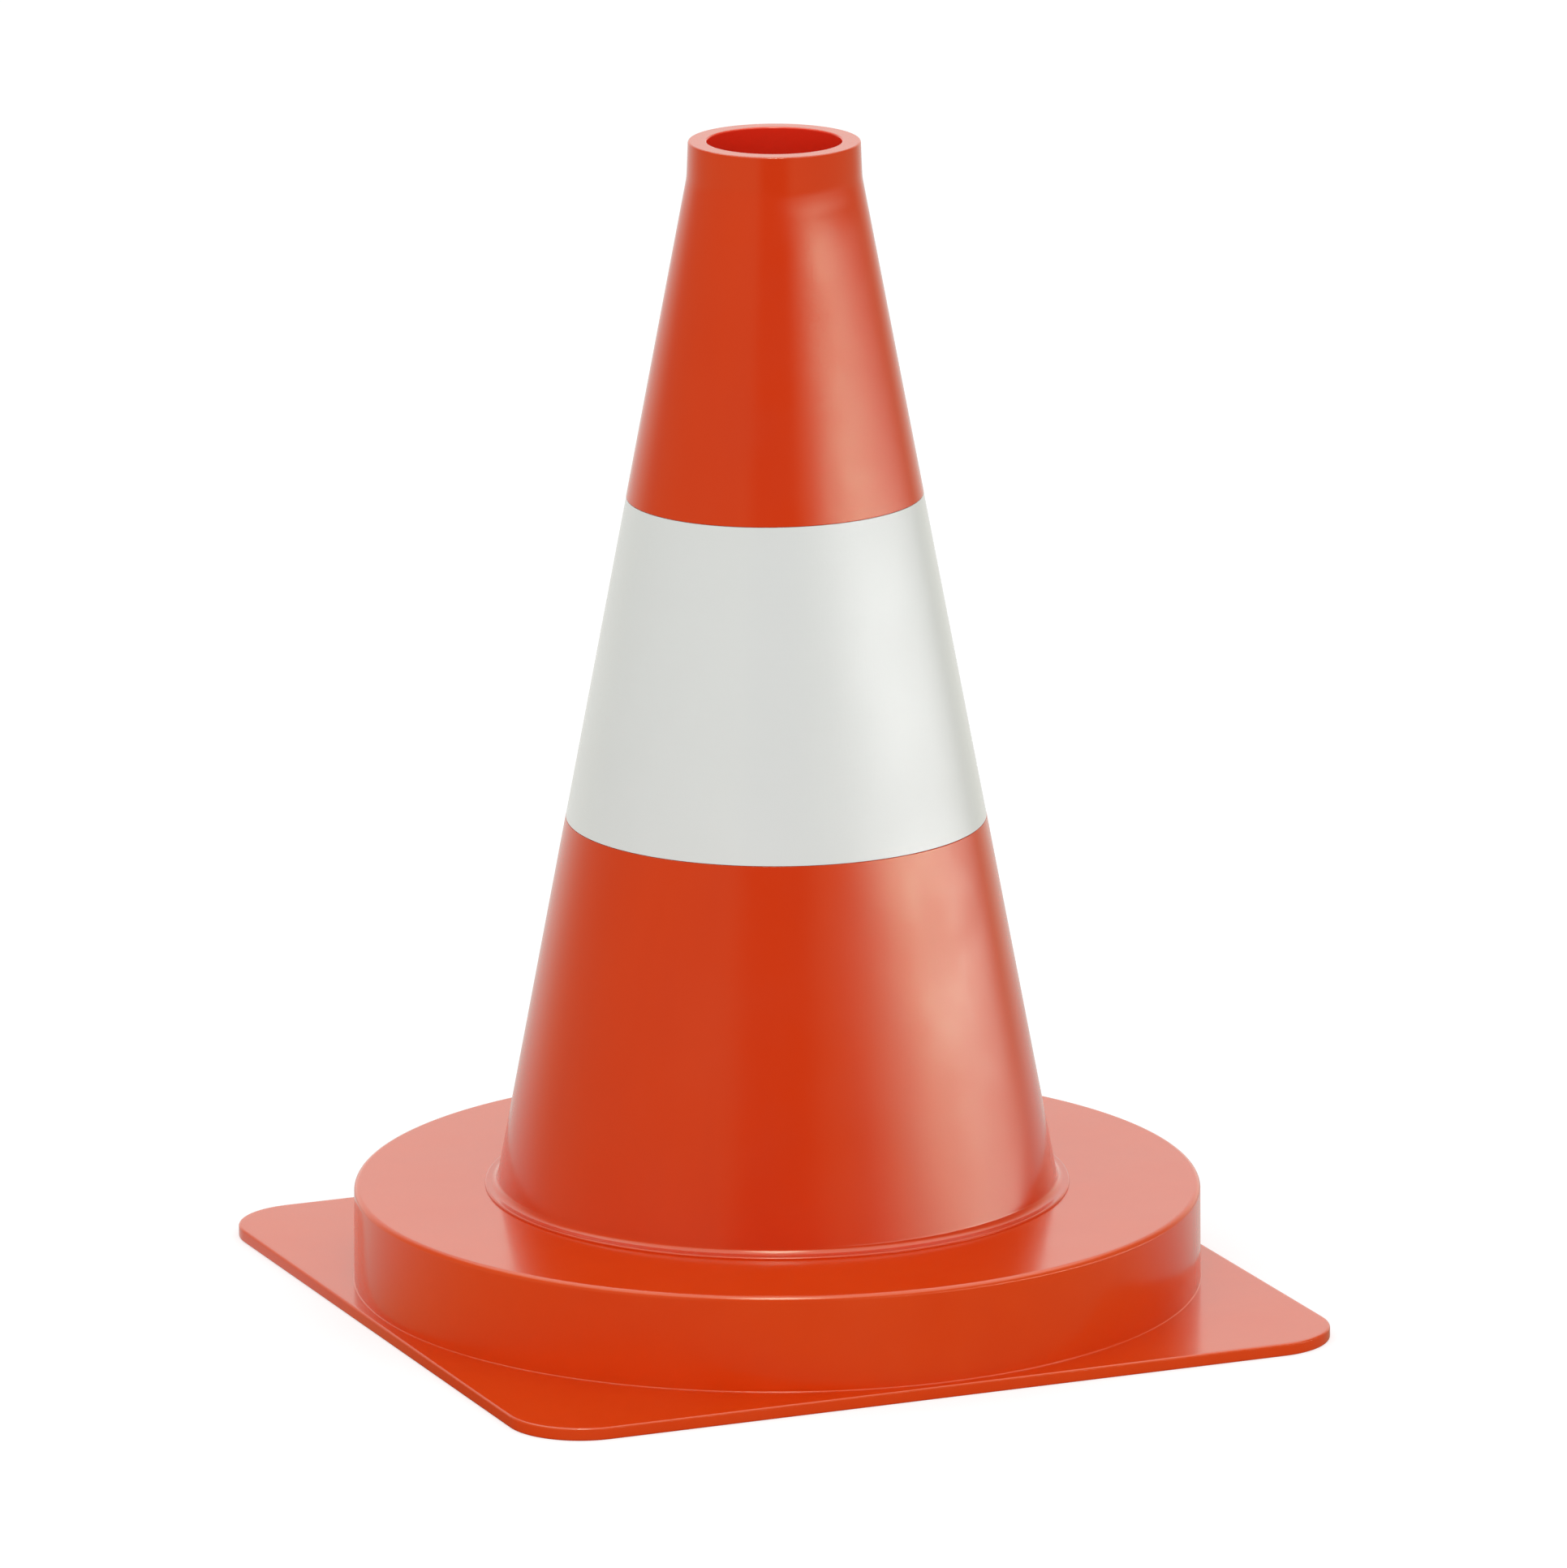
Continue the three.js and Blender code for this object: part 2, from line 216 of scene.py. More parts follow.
def follow_film_tilt(radius, height, angle):
    """Shifts points near the film's upper edge along the cone's line: the shift is the tilt times the cosine
    of the angle from the image's right, times a share that is one at the edge and zero beyond the reach."""
    distance = np.clip(np.abs(height - RECESS_TOP) / FILM_TILT_REACH, 0, 1)
    edge_share = (1 - distance) ** 2 * (1 + 2 * distance)
    shift = FILM_TILT * np.cos(angle - CAMERA_AZIMUTH) * edge_share
    return radius - CONE_SLOPE * shift, height + shift


def tilted_grid(outline, angle):
    """An outline carried round Z. At each angle it follows the tilt of the film's edge first."""
    radius, height = follow_film_tilt(outline[:, :1], outline[:, 1:], angle)
    return carried_round(radius, height, angle)


cone_outline = eased_outline(
    (
        (SPIGOT_RADIUS, SPIGOT_BOTTOM, SPIGOT_EDGE),
        (SPIGOT_RADIUS, DRUM_TOP, 0),
        (LIP_RADIUS, DRUM_TOP, 0),
        (LIP_RADIUS, LIP_TOP, LIP_EDGE),
        (cone_radius(LIP_TOP), LIP_TOP, FOOT_FILLET),
        (cone_radius(RECESS_BOTTOM), RECESS_BOTTOM, RECESS_EDGE),
        (cone_radius(RECESS_BOTTOM) - RECESS_DEPTH, RECESS_BOTTOM, 0),
        (cone_radius(RECESS_TOP) - RECESS_DEPTH, RECESS_TOP, 0),
        (cone_radius(RECESS_TOP), RECESS_TOP, RECESS_EDGE),
        (COLLAR_FOOT_RADIUS, COLLAR_FOOT_HEIGHT, COLLAR_EASE),
        (RIM_RADIUS, TOTAL_HEIGHT, RIM_EDGE),
        (BORE_RADIUS, TOTAL_HEIGHT, RIM_EDGE),
        (BORE_RADIUS, COLLAR_FOOT_HEIGHT, SHOULDER_EASE),
        (cone_radius(SHOULDER_HEIGHT) - CONE_WALL_ACROSS, SHOULDER_HEIGHT, SHOULDER_EASE),
        (cone_radius(DRUM_TOP) - CONE_WALL_ACROSS, DRUM_TOP, INNER_FOOT_EASE),
        (SPIGOT_INNER, DRUM_TOP - SPIGOT_WALL, INNER_FOOT_EASE),
        (SPIGOT_INNER, SPIGOT_BOTTOM, SPIGOT_EDGE),
    )
)
cone_outline = split_long_sides(cone_outline, CONE_LONGEST_SIDE)
cone_angle = np.linspace(0, 2 * math.pi, CONE_TURN_STEPS, endpoint=False)[None, :]


def new_material(name):
    """A node material whose tree holds nothing but its output."""
    material = bpy.data.materials.new(name)
    material.use_nodes = True
    tree = material.node_tree
    tree.nodes.clear()
    output = tree.nodes.new("ShaderNodeOutputMaterial")
    return material, tree, output


def add_node(tree, kind, settings=None, values=None, links=None):
    """One node: its settings, the values of its sockets, and the sockets that feed it."""
    node = tree.nodes.new(kind)
    for key, value in (settings or {}).items():
        setattr(node, key, value)
    for key, value in (values or {}).items():
        node.inputs[key].default_value = value
    for key, source in (links or {}).items():
        tree.links.new(source, node.inputs[key])
    return node


def calculate(tree, operation, first, second=None):
    """One step of arithmetic on one or two sockets or numbers."""
    step = add_node(tree, "ShaderNodeMath", {"operation": operation})
    for index, term in enumerate((first, second)):
        if isinstance(term, (int, float)):
            step.inputs[index].default_value = term
        elif term is not None:
            tree.links.new(term, step.inputs[index])
    return step.outputs["Value"]


def even_step(tree, source, start, end, low, high, kind="LINEAR"):
    """The low value before the start, the high value after the end, and an even step between them."""
    limits = {"From Min": start, "From Max": end, "To Min": low, "To Max": high}
    step = add_node(tree, "ShaderNodeMapRange", {"interpolation_type": kind}, limits, {"Value": source})
    return step.outputs["Result"]


def smooth_step(tree, source, start, end, low, high):
    """The same as an even step, with a soft start and end."""
    return even_step(tree, source, start, end, low, high, kind="SMOOTHSTEP")


def mix_values(tree, share, first, second):
    """A number between two others, each a socket or a number: the first where the share is 0."""
    mix = add_node(tree, "ShaderNodeMix", {"data_type": "FLOAT"}, links={0: share})
    for index, term in ((2, first), (3, second)):
        if isinstance(term, (int, float)):
            mix.inputs[index].default_value = term
        else:
            tree.links.new(term, mix.inputs[index])
    return mix.outputs[0]


def mix_colours(tree, share, first, second):
    """A colour between two others, each a socket or three numbers: the first where the share is 0."""
    mix = add_node(tree, "ShaderNodeMix", {"data_type": "RGBA"}, links={0: share})
    for index, term in ((6, first), (7, second)):
        if isinstance(term, tuple):
            mix.inputs[index].default_value = (*term, 1.0)
        else:
            tree.links.new(term, mix.inputs[index])
    return mix.outputs[2]


def noise(tree, place, scale, detail, roughness, distortion=0.0):
    """Random clouds with values round one half, the scale being how many of them fit in a metre."""
    values = {"Scale": scale, "Detail": detail, "Roughness": roughness, "Distortion": distortion}
    return add_node(tree, "ShaderNodeTexNoise", values=values, links={"Vector": place}).outputs["Fac"]


def relief(tree, height, strength, distance, invert=False):
    """The direction of a surface that stands up by the distance where the height is one, or, when inverted,
    where it is zero."""
    values = {"Strength": strength, "Distance": distance}
    return add_node(tree, "ShaderNodeBump", {"invert": invert}, values, {"Height": height}).outputs["Normal"]


def join_shader(tree, output, colour, roughness, normal, values=None):
    """Joins colour, roughness and relief in the material's one shader. Further values are the same all over
    and are set on the shader itself."""
    links = {"Base Color": colour, "Roughness": roughness, "Normal": normal}
    shader = add_node(tree, "ShaderNodeBsdfPrincipled", values=values, links=links)
    tree.links.new(shader.outputs["BSDF"], output.inputs["Surface"])


PLASTIC_IOR = 1.5
PLASTIC_TINT = (0.6, 1.0, 0.76, 1.0)
CLOUD_SCALE = 14.0
STREAK_SCALE = 60.0
BLEND_RANGE = (0.12, 0.42)
RUB_SCALE = 38.0
NOISE_RANGE = (0.3, 0.7)
PEEL_SCALE = 260.0
PEEL_STRENGTH = 0.35
GLOSSY_PEEL = 0.00002
CONE_COLOUR = (0.645, 0.0370, 0.0022)
CONE_DEEPER = (0.620, 0.0325, 0.0018)
# The inner tone is brighter than the outside: painted light that stands for the glow on the bore's inner
# walls.
CONE_INNER_PAINTED_GLOW = (0.84, 0.030, 0.011)
CONE_GLOSS = (0.13, 0.19)
ALONG_CONE = (1.0, 1.0, 0.08)
COLLAR_MARGIN = 0.001
BORE_MARGIN = 0.0003


def painted_inner_glow_mask(tree, place):
    """One on the cone's inner faces, which take the brighter painted light, and nothing elsewhere: the
    distance from the axis is compared with a line in the middle of the wall, and from the shoulder up with
    the bore."""
    parts = add_node(tree, "ShaderNodeSeparateXYZ", links={"Vector": place}).outputs
    squares = [calculate(tree, "POWER", parts[axis], 2.0) for axis in ("X", "Y")]
    across = calculate(tree, "SQRT", calculate(tree, "ADD", *squares))
    narrowing = calculate(tree, "MULTIPLY", parts["Z"], CONE_SLOPE)
    sloped = calculate(tree, "SUBTRACT", cone_radius(0.0) - 0.5 * CONE_WALL_ACROSS, narrowing)
    in_collar = calculate(tree, "GREATER_THAN", parts["Z"], SHOULDER_HEIGHT - COLLAR_MARGIN)
    middle = mix_values(tree, in_collar, sloped, BORE_RADIUS + BORE_MARGIN)
    return calculate(tree, "LESS_THAN", across, middle)


def moulded_plastic(name, colour, deeper, gloss, peel_height, stretch=(1.0, 1.0, 1.0), inner=None):
    """Smooth moulded plastic. The colour drifts a little towards the deeper one in broad clouds and in faint
    streaks along the flow, the gloss varies by a few hundredths, and a fine peel stands a few microns high.
    An inner tone, when given, replaces the colour on the cone's inner faces: a brighter red, painted light
    that stands for the glow inside the bore."""
    material, tree, output = new_material(name)
    place = add_node(tree, "ShaderNodeTexCoord").outputs["Object"]
    along = add_node(tree, "ShaderNodeMapping", values={"Scale": stretch}, links={"Vector": place})
    clouds = noise(tree, place, CLOUD_SCALE, detail=3.0, roughness=0.55)
    streaks = noise(tree, along.outputs["Vector"], STREAK_SCALE, detail=2.0, roughness=0.5, distortion=0.4)
    share = even_step(tree, calculate(tree, "MULTIPLY", clouds, streaks), *BLEND_RANGE, 0.0, 1.0)
    tone = mix_colours(tree, share, colour, deeper)
    # Painted light: the inner faces take the brighter inner tone.
    if inner:
        tone = mix_colours(tree, painted_inner_glow_mask(tree, place), tone, inner)
    rubbed = noise(tree, place, RUB_SCALE, detail=5.0, roughness=0.6)
    roughness = even_step(tree, rubbed, *NOISE_RANGE, *gloss)
    peel = noise(tree, place, PEEL_SCALE, detail=2.0, roughness=0.4)
    normal = relief(tree, peel, PEEL_STRENGTH, peel_height)
    values = {"IOR": PLASTIC_IOR, "Specular Tint": PLASTIC_TINT}
    join_shader(tree, output, tone, roughness, normal, values)
    return material


def prisms(name, sections, low, high, material):
    """Closed prisms in one mesh, each from two anticlockwise outlines of (x, y) points, one at its low and
    one at its high end: its two ends and a quad for each side."""
    points = []
    faces = []
    first = 0
    for lower, upper in sections:
        count = len(lower)
        points.append(np.column_stack((lower, np.full(count, low))))
        points.append(np.column_stack((upper, np.full(count, high))))
        bottom = first + np.arange(count)
        following = first + (np.arange(count) + 1) % count
        faces += [bottom[::-1].tolist(), (bottom + count).tolist()]
        faces += np.stack((bottom, following, following + count, bottom + count), axis=-1).tolist()
        first += 2 * count
    return mesh_object(name, np.concatenate(points), faces, material)


def combine(piece, other, operation):
    """Joins another closed mesh to the piece or cuts it away, and removes the other one."""
    change = piece.modifiers.new(operation, "BOOLEAN")
    change.operation = operation
    change.object = other
    change.solver = "MANIFOLD"
    bpy.context.view_layer.update()
    evaluated = piece.evaluated_get(bpy.context.evaluated_depsgraph_get())
    combined = bpy.data.meshes.new_from_object(evaluated)
    piece.modifiers.clear()
    piece.data = combined
    bpy.data.objects.remove(other)
    combined.polygons.foreach_set("use_smooth", np.ones(len(combined.polygons), bool))
    combined.set_sharp_from_angle(angle=math.radians(SHARP_ANGLE))


def turned_about_z(outline, angle):
    """An outline of (x, y) points turned about the origin."""
    cosine, sine = math.cos(angle), math.sin(angle)
    return outline @ np.array(((cosine, sine), (-sine, cosine)))


def lug_outline(inner, outer):
    """A lug seen from above: straight inside, and outside an arc about the axis, as wide as the lug."""
    half_turn = math.asin(LUG_HALF_WIDTH / SPIGOT_RADIUS)
    turn = np.linspace(-half_turn, half_turn, LUG_ARC_STEPS)
    arc = outer * np.stack((np.cos(turn), np.sin(turn)), axis=-1)
    return np.concatenate((arc, [(inner, LUG_HALF_WIDTH), (inner, -LUG_HALF_WIDTH)]))


cone_material = moulded_plastic(
    "cone_plastic", CONE_COLOUR, CONE_DEEPER, CONE_GLOSS, GLOSSY_PEEL, ALONG_CONE, CONE_INNER_PAINTED_GLOW
)
cone = mesh_object(
    "cone_body_moulding",
    tilted_grid(cone_outline, cone_angle),
    ring_faces(len(cone_outline), CONE_TURN_STEPS).tolist(),
    cone_material,
)
lug_root = SPIGOT_RADIUS - 0.5 * SPIGOT_WALL
lug_top = SPIGOT_BOTTOM + LUG_HEIGHT
lug_turns = [2 * math.pi * i / LUG_COUNT for i in range(LUG_COUNT)]
lug_foot, lug_head = [lug_outline(lug_root, SPIGOT_RADIUS + reach) for reach in (0.0, LUG_REACH)]
for name, lower, low, high in (
    ("lug_wedges", lug_foot, SPIGOT_BOTTOM + LUG_START, lug_top - LUG_FACE),
    ("lug_faces", lug_head, lug_top - LUG_FACE, lug_top),
):
    lugs = [(turned_about_z(lower, turn), turned_about_z(lug_head, turn)) for turn in lug_turns]
    combine(cone, prisms(name, lugs, low, high, cone_material), "UNION")
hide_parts("cone_body")
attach(cone, "root")

# White film: one strip of satin reflective film rolled round the cone in its recess and stuck down.
# Its two ends meet in a butt seam at the back, and its upper edge runs slightly out of level.
FILM_THICKNESS = 0.0004
FILM_EDGE = 0.00006
FILM_EDGE_GAP = 0.00012
FILM_END_GAP = 0.0005
FILM_CLEARANCE = 0.00002
FILM_SEAM_ANGLE = math.radians(90)
FILM_TURN_STEPS = 300
FILM_ARC_STEPS = 3
FILM_LONGEST_SIDE = 0.006
FILM_WHITE = (0.705, 0.721, 0.699)
FILM_GREYER = (0.690, 0.706, 0.684)
FILM_GLOSS = (0.15, 0.20)
FILM_SPECULAR = 0.36
FILM_CLOUD_SCALE = 22.0
FILM_CLOUD_RANGE = (0.35, 0.65)
CELL_SCALE = 420.0
CELL_RANDOMNESS = 0.35
CELL_WALL = 0.12
CELL_STRENGTH = 0.12
CELL_DEPTH = 0.00003


def film_strip():
    """The film as a strip round the cone: along it the angle runs from one end to the other, and across it
    the outline runs up the outer face, over the edge, down the inner face and back. The ends are closed."""
    low = RECESS_BOTTOM + FILM_EDGE_GAP
    high = RECESS_TOP - FILM_EDGE_GAP
    inner = RECESS_DEPTH - FILM_CLEARANCE
    outline = eased_outline(
        (
            (cone_radius(low) - inner, low, 0),
            (cone_radius(low) - RECESS_DEPTH + FILM_THICKNESS, low, FILM_EDGE),
            (cone_radius(high) - RECESS_DEPTH + FILM_THICKNESS, high, FILM_EDGE),
            (cone_radius(high) - inner, high, 0),
        ),
        FILM_ARC_STEPS,
    )
    outline = split_long_sides(outline, FILM_LONGEST_SIDE)
    half_gap = 0.5 * FILM_END_GAP / cone_radius(0.5 * (low + high))
    angle = FILM_SEAM_ANGLE + np.linspace(half_gap, 2 * math.pi - half_gap, FILM_TURN_STEPS)[None, :]
    rows, columns = len(outline), FILM_TURN_STEPS
    first_end = (np.arange(rows) * columns).tolist()
    last_end = (np.arange(rows)[::-1] * columns + columns - 1).tolist()
    sides = ring_faces(rows, columns, joined=False).tolist()
    return tilted_grid(outline, angle), sides + [first_end, last_end]


def satin_film(name):
    """Satin white film: a slight grey-green drift in broad clouds, a fine embossed cell pattern a few
    microns high, and a softer gloss than the plastic."""
    material, tree, output = new_material(name)
    place = add_node(tree, "ShaderNodeTexCoord").outputs["Object"]
    clouds = noise(tree, place, FILM_CLOUD_SCALE, detail=4.0, roughness=0.6)
    share = even_step(tree, clouds, *FILM_CLOUD_RANGE, 0.0, 1.0)
    tone = mix_colours(tree, share, FILM_WHITE, FILM_GREYER)
    cells = add_node(
        tree,
        "ShaderNodeTexVoronoi",
        {"feature": "DISTANCE_TO_EDGE"},
        {"Scale": CELL_SCALE, "Randomness": CELL_RANDOMNESS},
        {"Vector": place},
    )
    walls = even_step(tree, cells.outputs["Distance"], 0.0, CELL_WALL, 0.0, 1.0)
    normal = relief(tree, walls, CELL_STRENGTH, CELL_DEPTH)
    roughness = even_step(tree, clouds, *NOISE_RANGE, *FILM_GLOSS)
    values = {"IOR": PLASTIC_IOR, "Specular IOR Level": FILM_SPECULAR}
    join_shader(tree, output, tone, roughness, normal, values)
    return material


film_points, film_faces = film_strip()
film = mesh_object("reflective_film", film_points, film_faces, satin_film("white_film"))
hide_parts("reflective_sleeve")
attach(film, "root")

# Base: the drum and its square flange in one glossy moulding, open below, with a hub ring that holds the
# cone, an inner skirt, ribs under the drum's top, and shallow pockets under the flange's corners.
DRUM_RADIUS = 0.116
DRUM_DRAFT = 0.0002
DRUM_WALL = 0.003
DRUM_EDGE = 0.0015
DRUM_FOOT_FILLET = 0.0003
DRUM_FOOT_MARGIN = 0.0012
DRUM_HOLE_RADIUS = 0.0762
HOLE_EDGE = 0.0003
INNER_EDGE = 0.0005
SKIRT_RADIUS = 0.084
SKIRT_WALL = 0.0025
RIB_COUNT = 12
RIB_HALF_THICKNESS = 0.001
RIB_DEPTH = 0.006
FLANGE_HALF_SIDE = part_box("base_shell")[1].x
FLANGE_THICKNESS = 0.0035
FLANGE_CORNER = 0.0206
FLANGE_EDGE = 0.0006
FLANGE_EDGE_STEPS = 9
FLANGE_SUPPORT = 0.0015
SEAT_RADIUS = 0.1146
SEAT_HEIGHT = 0.0024
SEAT_EDGE = 0.0002
GROOVE_BOTTOM = 0.0048
GROOVE_TOP = 0.0064
GROOVE_DEPTH = 0.0007
GROOVE_STEP = 0.0003
POCKET_MARGIN = 0.005
POCKET_DEPTH = 0.0012
POCKET_RIB_HALF = 0.003
POCKET_TURN = 0.02
POCKET_STEPS = 24
SIDE_STEPS = 56
CORNER_STEPS = 32
# The base's colours are lighter than the cone's orange: painted light that makes up for the shade on the
# drum and flange.
BASE_PAINTED_LIGHT_COLOUR = (0.695, 0.0520, 0.0032)
BASE_PAINTED_LIGHT_DEEPER = (0.680, 0.0475, 0.0028)
BASE_GLOSS = (0.14, 0.20)

HUB_BOTTOM = DRUM_TOP - DRUM_WALL
CAVITY_RADIUS = DRUM_RADIUS - DRUM_WALL
SKIRT_OUTSIDE = SKIRT_RADIUS + SKIRT_WALL


def flange_reach(angle, inset):
    """How far the rounded square reaches at each angle: along a side the half side over the cosine, and
    past it to where the ray meets the corner's circle. The inset moves both inwards by the same distance."""
    folded = np.abs((angle + math.pi / 4) % (math.pi / 2) - math.pi / 4)
    half = FLANGE_HALF_SIDE - inset
    centre = FLANGE_HALF_SIDE - FLANGE_CORNER
    along = centre * (np.cos(folded) + np.sin(folded))
    beyond = np.sqrt(np.maximum(along**2 - 2 * centre**2 + (FLANGE_CORNER - inset) ** 2, 0))
    return np.where(np.tan(folded) < centre / half, half / np.cos(folded), along + beyond)


def flange_angles():
    """Angles round the flange: even steps along each side, and even steps of the corner's own arc."""
    centre = FLANGE_HALF_SIDE - FLANGE_CORNER
    turn = np.linspace(0, math.pi / 2, CORNER_STEPS, endpoint=False)
    corner = np.arctan2(centre + FLANGE_CORNER * np.sin(turn), centre + FLANGE_CORNER * np.cos(turn))
    side = np.linspace(math.pi / 2 - corner[0], math.pi / 2 + corner[0], SIDE_STEPS, endpoint=False)
    quarter = np.concatenate((corner, side))
    return np.concatenate([quarter + i * math.pi / 2 for i in range(4)])


def base_points():
    """The base's grid: a section of round rows, with a fixed radius at every angle, and square rows, with
    the flange's reach less an inset, carried round Z over the flange's angles."""
    round_part = eased_outline(
        (
            (DRUM_RADIUS + DRUM_FOOT_MARGIN, FLANGE_THICKNESS, 0),
            (DRUM_RADIUS, FLANGE_THICKNESS, DRUM_FOOT_FILLET),
            (DRUM_RADIUS - DRUM_DRAFT, DRUM_TOP, DRUM_EDGE),
            (DRUM_HOLE_RADIUS, DRUM_TOP, HOLE_EDGE),
            (DRUM_HOLE_RADIUS, HUB_BOTTOM, HOLE_EDGE),
            (SKIRT_RADIUS, HUB_BOTTOM, INNER_EDGE),
            (SKIRT_RADIUS, GROOVE_TOP + GROOVE_DEPTH, 0),
            (SKIRT_RADIUS + GROOVE_DEPTH, GROOVE_TOP, 0),
            (SKIRT_RADIUS + GROOVE_DEPTH, GROOVE_BOTTOM, 0),
            (SKIRT_RADIUS, GROOVE_BOTTOM - GROOVE_STEP, 0),
            (SKIRT_RADIUS, SEAT_HEIGHT, 0),
            (SKIRT_OUTSIDE, SEAT_HEIGHT, 0),
            (SKIRT_OUTSIDE, HUB_BOTTOM, INNER_EDGE),
            (CAVITY_RADIUS - DRUM_DRAFT, HUB_BOTTOM, INNER_EDGE),
            (CAVITY_RADIUS, SEAT_HEIGHT, 0),
            (SEAT_RADIUS, SEAT_HEIGHT, 0),
            (SEAT_RADIUS, 0, SEAT_EDGE),
        )
    )
    turn = np.linspace(-math.pi / 2, 0, FLANGE_EDGE_STEPS)
    low = np.stack((FLANGE_EDGE * (1 - np.cos(turn)), FLANGE_EDGE * (1 + np.sin(turn))), axis=-1)
    high = np.stack((low[::-1, 0], FLANGE_THICKNESS - low[::-1, 1]), axis=-1)
    support = np.array(((FLANGE_SUPPORT, 0.0),))
    square_part = np.concatenate((support, low, high, support + (0, FLANGE_THICKNESS)))
    angle = flange_angles()[None, :]
    round_reach = round_part[:, :1] + 0 * angle
    square_reach = flange_reach(angle, square_part[:, :1])
    reach = np.concatenate((square_reach, round_reach))
    height = np.concatenate((square_part[:, 1:], round_part[:, 1:]))
    return carried_round(reach, height, angle)


def corner_pocket():
    """One half of a corner's pocket, seen from above: along the circle beside the drum, along the rib on
    the diagonal, and back along the flange's edge, each at its margin."""
    near = DRUM_RADIUS + POCKET_MARGIN
    first = math.acos((FLANGE_HALF_SIDE - POCKET_MARGIN) / near) + POCKET_TURN
    last_near = math.pi / 4 - math.asin(POCKET_RIB_HALF / near)
    far = flange_reach(np.array(math.pi / 4), POCKET_MARGIN)
    last_far = math.pi / 4 - math.asin(POCKET_RIB_HALF / float(far))
    out = np.linspace(first, last_far, POCKET_STEPS)
    back = np.linspace(last_near, first, POCKET_STEPS)
    reach_out = flange_reach(out, POCKET_MARGIN)
    edge = np.stack((reach_out * np.cos(out), reach_out * np.sin(out)), axis=-1)
    inner = np.stack((near * np.cos(back), near * np.sin(back)), axis=-1)
    return np.concatenate((edge, inner))


# The base's lighter tone is painted light.
base_material = moulded_plastic("base_plastic", BASE_PAINTED_LIGHT_COLOUR, BASE_PAINTED_LIGHT_DEEPER, BASE_GLOSS, GLOSSY_PEEL)
base_grid = base_points()
base_faces = ring_faces(*base_grid.shape[:2]).tolist()
base = mesh_object("base_moulding", base_grid, base_faces, base_material)
pocket = corner_pocket()
pocket_halves = (pocket, pocket[::-1, ::-1])
pockets = [turned_about_z(half, i * math.pi / 2) for i in range(4) for half in pocket_halves]
pocket_cutter = prisms(
    "corner_pockets", [(half, half) for half in pockets], -POCKET_DEPTH, POCKET_DEPTH, base_material
)
combine(base, pocket_cutter, "DIFFERENCE")
rib_inner = SKIRT_RADIUS + 0.5 * SKIRT_WALL
rib_outer = CAVITY_RADIUS + 0.5 * DRUM_WALL
rib_plan = np.array(
    (
        (rib_inner, -RIB_HALF_THICKNESS),
        (rib_outer, -RIB_HALF_THICKNESS),
        (rib_outer, RIB_HALF_THICKNESS),
        (rib_inner, RIB_HALF_THICKNESS),
    )
)
ribs = [turned_about_z(rib_plan, (i + 0.5) * 2 * math.pi / RIB_COUNT) for i in range(RIB_COUNT)]
top_ribs = prisms(
    "top_ribs",
    [(rib, rib) for rib in ribs],
    HUB_BOTTOM - RIB_DEPTH,
    HUB_BOTTOM + 0.5 * DRUM_WALL,
    base_material,
)
combine(base, top_ribs, "UNION")
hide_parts("base_shell")
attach(base, "root")

# Cover: a matt ring plate from recycled plastic that closes the drum's mouth. It snaps in from below, and
# only its underside shows.
COVER_COLOUR = (0.46, 0.036, 0.0075)
COVER_DEEPER = (0.36, 0.030, 0.008)
COVER_GLOSS = (0.42, 0.55)
COVER_PEEL = 0.00006

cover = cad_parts["base_cover"]
cover.data.materials.clear()
cover.data.materials.append(
    moulded_plastic("cover_plastic", COVER_COLOUR, COVER_DEEPER, COVER_GLOSS, COVER_PEEL)
)

# Ballast: a ring of coarse recycled compound that lies loose on the cover, inside the drum.
BALLAST_DARK = (0.030, 0.029, 0.028)
BALLAST_PALE = (0.085, 0.082, 0.078)
BALLAST_GLOSS = (0.78, 0.95)
CRUMB_SCALE = 320.0
CRUMB_STRENGTH = 0.8
CRUMB_DEPTH = 0.0006


def crumb_compound(name):
    """Pressed rubber crumb: dark and paler grains a few millimetres wide, each standing a little apart."""
    material, tree, output = new_material(name)
    place = add_node(tree, "ShaderNodeTexCoord").outputs["Object"]
    crumbs = add_node(
        tree, "ShaderNodeTexVoronoi", values={"Scale": CRUMB_SCALE}, links={"Vector": place}
    ).outputs
    shade = add_node(tree, "ShaderNodeSeparateColor", links={"Color": crumbs["Color"]}).outputs
    tone = mix_colours(tree, shade["Red"], BALLAST_DARK, BALLAST_PALE)
    roughness = even_step(tree, shade["Green"], 0.0, 1.0, *BALLAST_GLOSS)
    normal = relief(tree, crumbs["Distance"], CRUMB_STRENGTH, CRUMB_DEPTH, invert=True)
    join_shader(tree, output, tone, roughness, normal)
    return material


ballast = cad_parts["ballast_ring"]
ballast.data.materials.clear()
ballast.data.materials.append(crumb_compound("ballast_compound"))

# Floor: a wide pale sheet. It reads as white where the light falls freely on it, and keeps the cone's
# shadow. The plastic mirrors it as grey near the cone, and further off as it mirrors the surroundings.
FLOOR_HALF_SIDE = 6.0
FLOOR_PALE = (0.84, 0.84, 0.84, 1.0)
FLOOR_SEEN = (0.50, 0.50, 0.50, 1.0)
FLOOR_LIFT = 0.60
FLOOR_DARK = 0.10
FLOOR_BRIGHT = 0.78
FLOOR_NEAR_TURN = (math.radians(35), math.radians(130))
FLOOR_TINT_TURN = (math.radians(60), math.radians(95))
FLOOR_FAR_RANGE = (0.25, 0.80)
SIDE_GREY = 0.52
SIDE_TURN = (math.radians(10), math.radians(27))
SIDE_TINT = (1.0, 1.0, 0.62)
BACK_EXTRA = 0.38
